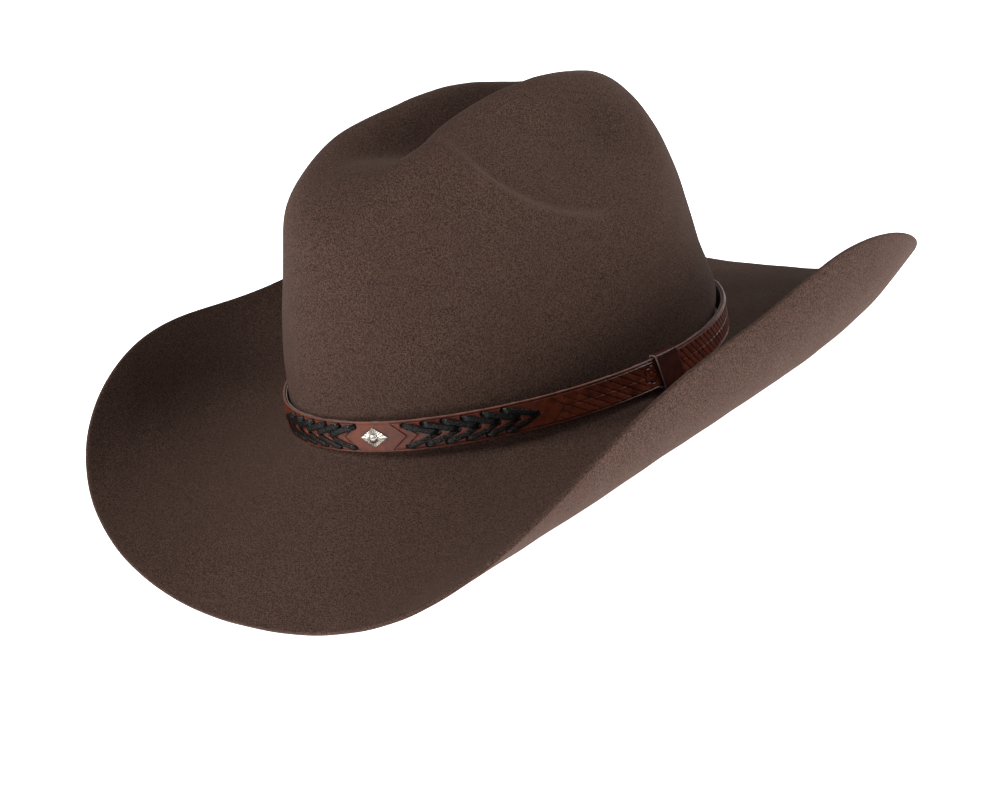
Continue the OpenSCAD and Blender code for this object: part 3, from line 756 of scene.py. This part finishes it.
def make_laces():
    names = {1: "lace_left", -1: "lace_right"}
    for side, marks in BOTH_LACES:
        parts = []
        for hole, tip, low in marks:
            parts.append(lace_arm(
                (tip - side * 0.2, LACE_Z[1] - 0.9), (low - side * 0.5, LACE_Z[2] - 0.1),
                [(0, -0.7), (0.10, 0.05), (0.3, 0.32), (0.8, 0.42), (0.92, 0.2), (1, -0.9)],
                [(0, 1.9), (0.3, 2.2), (0.85, 2.1), (1, 1.5)], 1.0, -0.35))
            parts.append(lace_arm(
                (hole - side * 0.6, LACE_Z[0] + 0.1), (tip + side * 0.5, LACE_Z[1] - 0.1),
                [(0, -1.0), (0.08, 0.35), (0.16, 0.95), (0.3, 0.80), (0.7, 0.72), (0.88, 0.62), (1, -0.9)],
                [(0, 2.1), (0.12, 2.8), (0.8, 2.75), (0.92, 2.9), (1, 2.2)], 1.15, 0.3))
        points, faces = merge(parts)
        obj = piece(names[side] + "_pebbled", points, faces, LACE, "hatband")
        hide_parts(names[side])


def make_stud():
    """A pointed oval of cast silver: a small dome, with flutes that run out to a scalloped rim."""
    turns, rings, flutes = 160, 22, 20
    theta = circle(turns)
    c, s = abs(np.cos(theta)) / 6.3, abs(np.sin(theta)) / 4.2
    rim = (c**1.04 + s**1.04) ** (-1 / 1.04) * (1 - 0.035 * (1 - np.cos(flutes * theta)) / 2)
    rho = np.linspace(0, 1, rings + 1)[1:]
    r = rho[:, None] * rim[None, :]
    flute = (1 - np.cos(flutes * theta))[None, :] / 2 * smooth(rho, 0.3, 0.6)[:, None]
    lift = 0.55 + 0.85 * (1 - rho[:, None] ** 1.2) - 0.24 * flute + 0.9 * np.sqrt(np.clip(1 - (r / 2.0) ** 2, 0, 1))
    groove = np.clip(0.7 * flute + 0.6 * bump(r, 2.1, 0.3), 0, 1)
    sides = np.array([[1.015, 0.42], [1.01, 0.2], [0.99, 0.0]])
    r = np.concatenate([r, rim * sides[:, :1]])
    h = np.concatenate([lift, np.repeat(sides[:, 1:], turns, 1)])
    points = on_band(STUD_AT + r * np.cos(theta), STRAP_OUT + h, STRAP_H / 2 + r * np.sin(theta)).reshape(-1, 3)
    tip = on_band(np.array([STUD_AT]), STRAP_OUT + 2.3, STRAP_H / 2)
    tooling = np.concatenate([groove, np.full((3, turns), 0.7)])
    faces = quads(len(r), turns, wrap_cols=True).tolist()
    faces += [[len(points), j, (j + 1) % turns] for j in range(turns)]
    faces.append([(len(r) - 1) * turns + j for j in range(turns - 1, -1, -1)])
    obj = piece("diamond_stud_cast", np.concatenate([points, tip]), faces, METAL, "hatband",
                {"tooling": np.append(tooling.ravel(), 0.0), "edge": np.zeros(len(points) + 1)})
    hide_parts("diamond_stud")


def make_keeper():
    """The loop that holds the strap's two ends: a leather strip folded round them, with raw edges."""
    room, behind, front, lip = 0.3, 0.8, 1.1, 1.1
    outer_low, outer_high = -room - lip, STRAP_H + room + lip
    mid = STRAP_H / 2

    def loop(o1, o2, z1, z2, radius):
        """A round-cornered rectangle, with points along its two long sides."""
        corners = [(o2 - radius, z2 - radius, 0), (o1 + radius, z2 - radius, 90),
                   (o1 + radius, z1 + radius, 180), (o2 - radius, z1 + radius, 270)]
        points = []
        for i, (o, z, start) in enumerate(corners):
            for t in np.radians(start + 90 - np.linspace(0, 90, 7)[::-1]):
                points.append((o + radius * math.cos(t), z + radius * math.sin(t)))
            if i in (1, 3):
                o, z, start = corners[(i + 1) % 4]
                turn = math.radians(start)
                a, b = points[-1], (o + radius * math.cos(turn), z + radius * math.sin(turn))
                points += [(a[0] + (b[0] - a[0]) * k / 12, a[1] + (b[1] - a[1]) * k / 12) for k in range(1, 12)]
        return np.array(points)

    outer = loop(-room - behind, STRAP_OUT + room + front, outer_low, outer_high, 1.25)
    inner = loop(-room, STRAP_OUT + room, -room, STRAP_H + room, 0.35)
    outer[:, 0] += 0.22 * np.clip(1 - ((outer[:, 1] - mid) / 8.2) ** 2, 0, 1) * (outer[:, 0] > STRAP_OUT)
    count = len(outer)
    half = KEEPER_W / 2
    across = [(-half + 0.25, 0.0), (-half + 0.05, 0.18), (-half, 0.45), (-half + 0.05, 0.75), (-half + 0.3, 0.96)]
    across += [(x, 1.0) for x in np.linspace(-half + 0.8, half - 0.8, 22)]
    across += [(half - 0.3, 0.96), (half - 0.05, 0.75), (half, 0.45), (half - 0.05, 0.18), (half - 0.25, 0.0)]
    across += [(x, 0.0) for x in np.linspace(half - 1.5, -half + 1.5, 6)]
    rows, edge = [], []
    for x, share in across:
        ring = inner + (outer - inner) * share
        slant = -0.22 * (ring[:, 1] - mid)
        rows.append(on_band(KEEPER_AT + x + slant, ring[:, 0], ring[:, 1]))
        edge.append(np.full(count, 0.9 if share in (0.45, 0.75) else (0.3 if share < 0.9 else 0.0)))
    faces = quads(len(rows), count, wrap_rows=True, wrap_cols=True, flip=True).tolist()
    points = np.array(rows)
    obj = piece("band_keeper_loop", points, faces, KEEPER, "keeper",
                {"edge": np.array(edge), "tooling": np.zeros((len(rows), count))})
    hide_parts("band_keeper")


# ---------- inside the crown ----------

def angle_at(a, z):
    return np.arcsin(np.clip(z / CROWN_H, 0, 1) ** (profile_n(a) / 2))


def crown_normal(a, t):
    e = 0.012
    around = crown(a + e, t, 0) - crown(a - e, t, 0)
    return unit(np.cross(around, crown(a, t + e, 0) - crown(a, np.maximum(t - e, 0), 0)))


def behind_crown(a, z, depth):
    """Points at a depth behind the crown's outside, at a height near its foot."""
    t = angle_at(a, np.maximum(z, 0))
    p = crown(a, t, 0) - depth[..., None] * crown_normal(a, t)
    p[..., 2] = z
    return p


def make_sweatband():
    """The leather band, rolled a little at its top edge and open at a seam at the back."""
    around = 480
    a = circle(around)[:, None]
    heights = np.concatenate(
        [[SWEAT_FOOT + 0.3, 0, 1.2], np.linspace(2.5, SWEAT_H - 2.5, 26), [SWEAT_H - 1.2, SWEAT_H - 0.3]])
    ripple = 0.10 * np.sin(9 * a + 0.6) * smooth(heights, 12, SWEAT_H)[None, :] + 0.07 * np.sin(23 * a)
    seam = np.exp(-(((a - math.pi) * 95) / 0.9) ** 2) * 0.5
    stitch_line = np.exp(-(((heights[None, :] - STITCH_Z) / 0.8) ** 2)) * 0.18
    inner_depth = SWEAT_DEPTH + SWEAT_T + np.minimum(ripple, 0.15) - stitch_line - seam
    z = np.repeat(heights[None, :], around, 0)
    wall_in = behind_crown(a, z, inner_depth)
    wall_out = behind_crown(a, z, np.full_like(z, SWEAT_DEPTH + 0.06))
    caps = []
    for row, sign in ((-1, 1), (0, -1)):
        middle = (wall_in[:, row] + wall_out[:, row]) / 2
        middle[:, 2] += sign * 0.35
        caps.append(middle)
    rows = np.concatenate([wall_in, caps[0][:, None], wall_out[:, ::-1], caps[1][:, None]], 1).transpose(1, 0, 2)
    edge = np.zeros((len(rows), around))
    edge[[len(heights) - 1, len(heights), len(heights) + 1]] = 0.8
    groove = np.zeros((len(rows), around))
    groove[:len(heights)] = np.maximum((seam * 1.6).clip(0, 1), stitch_line * 2.2).T
    faces = quads(len(rows), around, wrap_rows=True, wrap_cols=True)
    attributes = {"edge": edge, "tooling": groove}
    obj = piece("sweatband_leather", rows, faces, SWEAT, "hat", attributes)
    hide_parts("sweatband")


def make_stitches():
    """The visible stitches: short rounded threads that dip into the leather at both ends."""
    parts = []
    s = np.linspace(-1, 1, 9)
    for i in range(STITCHES):
        a0 = i * TAU / STITCHES
        r = oval_r(np.array([a0]))[0]
        a = a0 + s * 1.95 / r
        sunk = 0.28 * np.clip(1 - abs(s) ** 3, 0, 1)
        depth = SWEAT_DEPTH + SWEAT_T - 0.02 + sunk
        path = behind_crown(a, np.full(len(s), STITCH_Z), depth)
        ahead = unit(np.gradient(path, axis=0))
        side = np.repeat([[0.0, 0.0, 1.0]], len(s), 0)
        up = unit(np.cross(ahead, side))
        parts.append(sweep(path, side, up, 0.62 * (1 - 0.35 * abs(s) ** 3), np.full(len(s), 0.5), 8, 0.9))
    points, faces = merge(parts)
    obj = piece("sweatband_thread", points, faces, THREAD, "hat")
    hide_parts("sweatband_stitches")


def make_piping():
    """The tape folded round the reed under the sweatband's foot, and the reed itself, which it hides."""
    around, sides = 480, 16
    a = circle(around)[:, None]
    foot = oval_r(a)[..., None] * np.stack([np.sin(a), -np.cos(a)], -1) - REED_DEPTH * oval_dir(a)
    turn = circle(sides)[None, :]
    ridge = REED_R + TAPE_T + 0.03 * np.sin(170 * a)
    flat = foot + (ridge * np.cos(turn))[..., None] * oval_dir(a)
    z = REED_Z + ridge * np.sin(turn)
    points = np.concatenate([flat, z[..., None]], -1)
    faces = quads(around, sides, wrap_rows=True, wrap_cols=True, flip=True)
    obj = piece("reed_tape_woven", points, faces, TAPE, "hat")
    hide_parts("reed_tape")
    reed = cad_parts["sweatband_reed"]
    reed.data.materials.clear()
    reed.data.materials.append(REED)


def ribbon(points, width, thick, across):
    """A flat ribbon along points, with its width in the direction across, given for each point."""
    path = np.array(points, float)
    ahead = unit(np.gradient(path, axis=0))
    side = unit(np.array(across, float))
    side = unit(side - ahead * (side * ahead).sum(-1, keepdims=True))
    up = np.cross(ahead, side)
    return sweep(path, side, up, np.full(len(path), float(width)), np.full(len(path), float(thick)), 10, 0.5)


def spline(points, count):
    """A smooth line through a few points."""
    p = np.array(points, float)
    p = np.concatenate([2 * p[:1] - p[1:2], p, 2 * p[-1:] - p[-2:-1]])
    result = []
    for i in range(1, len(p) - 2):
        t = np.linspace(0, 1, count, endpoint=i == len(p) - 3)[:, None]
        square = 2 * p[i - 1] - 5 * p[i] + 4 * p[i + 1] - p[i + 2]
        cube = 3 * p[i] - p[i - 1] - 3 * p[i + 1] + p[i + 2]
        result.append(0.5 * (2 * p[i] + (p[i + 1] - p[i - 1]) * t + square * t**2 + cube * t**3))
    return np.concatenate(result)


def make_bow():
    """The small ribbon bow at the sweatband's back seam: two loops, two tails and a knot."""
    face = OVAL_HL - SWEAT_DEPTH - SWEAT_T - 1.6
    upright = [[0, 0, 1]]
    parts = []
    for side in (1, -1):
        loop = spline([(0, 0, 0), (side * 4, 0.7, 1.0), (side * 9.2, 0.2, 1.6), (side * 11.2, -1.0, 0.6),
                       (side * 8.6, -1.7, -0.4), (side * 4, -1.3, -0.4), (0, -0.5, 0)], 7)
        loop[:, 1] = np.clip(loop[:, 1], -1.6, 0.2)
        parts.append(ribbon(loop + [0, face, BOW_Z], 4.6, 0.35, upright * len(loop)))
        tail = spline([(0, -0.2, 0), (side * 2.5, -0.4, -3), (side * 4.2, 0.1, -6.5), (side * 6.4, -0.3, -9.5)], 7)
        across = [[side * 0.85, 0, 0.5]] * len(tail)
        parts.append(ribbon(tail + [0, face, BOW_Z], 3.6, 0.35, across))
    turn = np.linspace(0, TAU, 15)[:-1]
    knot = np.stack([0 * turn, -0.8 + 1.1 * np.cos(turn), 2.4 * np.sin(turn)], -1) + [0, face, BOW_Z]
    parts.append(ribbon(knot, 3.4, 0.5, [[1, 0, 0]] * len(knot)))
    points, faces = merge(parts)
    obj = piece("sweatband_ribbon_bow", points, faces, RIBBON, "hat")
    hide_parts("sweatband_bow")


def make_lining():
    """The satin lining: a side piece with fine gathers, and a tip sewn to it inside the crown's top."""
    around = 720
    a = circle(around)[:, None]
    seam = np.full_like(a, math.radians(LINING_SEAM))
    share = np.linspace(0, 1, 34)[None, :]
    t = angle_at(a, np.full_like(a, 12.0)) * (1 - share) + math.radians(LINING_SEAM) * share
    gather = 0.5 + 0.5 * np.sin(118 * a + 1.6 * np.sin(7 * a)) * np.sin(31 * a + 0.5)
    tuck = smooth(share, 0.45, 1.0)
    depth = LINING_DEPTH + 0.15 + 0.85 * gather * tuck
    p = crown(a, t, 0) - depth[..., None] * crown_normal(a, t)
    side_faces = quads(around, share.shape[1], wrap_rows=True, flip=True)
    side = piece("lining_side_satin", p, side_faces, SATIN, "hat", closed=False)
    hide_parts("lining_side")

    rows = 40
    way = np.linspace(0, 1, rows)
    climb = np.radians(LINING_SEAM) + (math.pi / 2 - math.radians(LINING_SEAM)) * way[None, :] ** 0.8
    near = crown(a[::2], np.minimum(climb, math.radians(89.6)), 0)
    direction = crown_normal(a[::2], np.minimum(climb, math.radians(88.5)))
    pull = 0.25 * np.sin(60 * a[::2]) * (1 - smooth(way, 0, 0.3))[None, :]
    tip_points = near - (LINING_DEPTH + 0.3 + pull)[..., None] * direction
    count = len(tip_points)
    points = np.concatenate([tip_points.reshape(-1, 3), tip_points[:, -1].mean(0, keepdims=True)])
    faces = quads(count, rows, wrap_rows=True, flip=True).tolist()
    faces += [[((j + 1) % count) * rows + rows - 1, j * rows + rows - 1, count * rows] for j in range(count)]
    tip = piece("lining_tip_satin", points, faces, SATIN, "hat", closed=False)
    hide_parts("lining_tip")

    into = crown_normal(a, seam)[:, 0]
    cord = crown(a, seam, 0)[:, 0] - (LINING_DEPTH + 1.2) * into
    sides = 8
    turn = circle(sides)[None, :]
    along = unit(np.roll(cord, -1, 0) - np.roll(cord, 1, 0))
    third = np.cross(along, into)
    size = 0.55 + 0.08 * np.sin(260 * a)
    ring = (cord[:, None] + (size * np.cos(turn))[..., None] * into[:, None]
            + (size * np.sin(turn))[..., None] * third[:, None])
    piece("lining_seam_piping", ring, quads(around, sides, wrap_rows=True, wrap_cols=True), SATIN, "hat")
    return side, tip


felt = make_felt()
make_strap()
make_backing()
make_laces()
make_stud()
make_keeper()
make_sweatband()
make_stitches()
make_piping()
make_bow()
lining_side, lining_tip = make_lining()


# ---------- floor, light and camera ----------

def make_floor():
    """A pale floor through the brim's lowest points at the front and back, so it slopes a little."""
    p = np.array([v.co for v in felt.data.vertices])
    slope = 0.0
    for _ in range(6):
        height = p[:, 2] - slope * p[:, 1]
        front, back = p[:, 1] < 0, p[:, 1] > 0
        f, b = p[front][np.argmin(height[front])], p[back][np.argmin(height[back])]
        slope = (b[2] - f[2]) / (b[1] - f[1])
    foot = (p[:, 2] - slope * p[:, 1]).min() - 0.0002
    size = 9.0
    square = ((-1, -1), (1, -1), (1, 1), (-1, 1))
    corners = [(size * x, size * y, foot + slope * size * y) for x, y in square]
    mesh = bpy.data.meshes.new("floor")
    mesh.from_pydata(corners, [], [(0, 1, 2, 3)])
    floor = bpy.data.objects.new("floor", mesh)
    bpy.context.scene.collection.objects.link(floor)
    m = Nodes("floor_white")
    m.color(m.mix(m.noise(3.0, 2), (0.86, 0.86, 0.86), (0.88, 0.88, 0.88)))
    m.set(Roughness=0.9, Specular_IOR_Level=0.1, Emission_Color=(1, 1, 1, 1), Emission_Strength=1.55)
    mesh.materials.append(m.material)


def soft_light(name, at, towards, size, power):
    data = bpy.data.lights.new(name, "AREA")
    data.shape, data.size, data.size_y = "RECTANGLE", size[0], size[1]
    data.energy = power
    obj = bpy.data.objects.new(name, data)
    bpy.context.scene.collection.objects.link(obj)
    obj.location = at
    obj.rotation_euler = (Vector(towards) - Vector(at)).to_track_quat("-Z", "Y").to_euler()


def view_axes(azimuth, elevation, roll):
    """Unit vectors to the camera, to the picture's right and up."""
    a, e, r = map(math.radians, (azimuth, elevation, roll))
    back = Vector((math.sin(a) * math.cos(e), -math.cos(a) * math.cos(e), math.sin(e)))
    flat = Vector((math.cos(a), math.sin(a), 0))
    rise = back.cross(flat)
    return back, math.cos(r) * flat + math.sin(r) * rise, -math.sin(r) * flat + math.cos(r) * rise


CAMERA = {"azimuth": 46.17, "elevation": 16.25, "roll": -9.93, "distance": 1.7025, "focal": 3.8316,
          "centre": (0.0069, 0.0235)}


def make_camera():
    back, right, up = view_axes(CAMERA["azimuth"], CAMERA["elevation"], CAMERA["roll"])
    data = bpy.data.cameras.new("camera")
    data.sensor_fit, data.sensor_width = "HORIZONTAL", 36
    data.lens = CAMERA["focal"] * 36
    data.shift_x, data.shift_y = -CAMERA["centre"][0], -CAMERA["centre"][1]
    data.clip_end = 50
    obj = bpy.data.objects.new("camera", data)
    bpy.context.scene.collection.objects.link(obj)
    turn = Matrix((right, up, back)).transposed().to_4x4()
    obj.matrix_world = Matrix.Translation(back * CAMERA["distance"]) @ turn
    bpy.context.scene.camera = obj
    return back, right, up


def make_light(back, right, up):
    world = bpy.data.worlds.new("studio")
    world.use_nodes = True
    sky = world.node_tree.nodes["Background"]
    sky.inputs["Color"].default_value = (1, 1, 1, 1)
    sky.inputs["Strength"].default_value = 0.16
    bpy.context.scene.world = world
    bpy.context.scene.view_settings.view_transform = "Standard"
    soft_light("key", -right * 1.5 + up * 0.72 + back * 0.85, (0, 0, 0.05), (0.8, 0.8), 26.5)
    soft_light("side", right * 1.3 + back * 1.1 - up * 0.02, (0.05, 0, 0.02), (0.8, 0.6), 13)
    soft_light("upper", right * 1.25 + up * 1.2 + back * 0.25, (0, 0, 0.05), (0.4, 0.4), 9)


back, right, up = make_camera()
make_floor()
make_light(back, right, up)
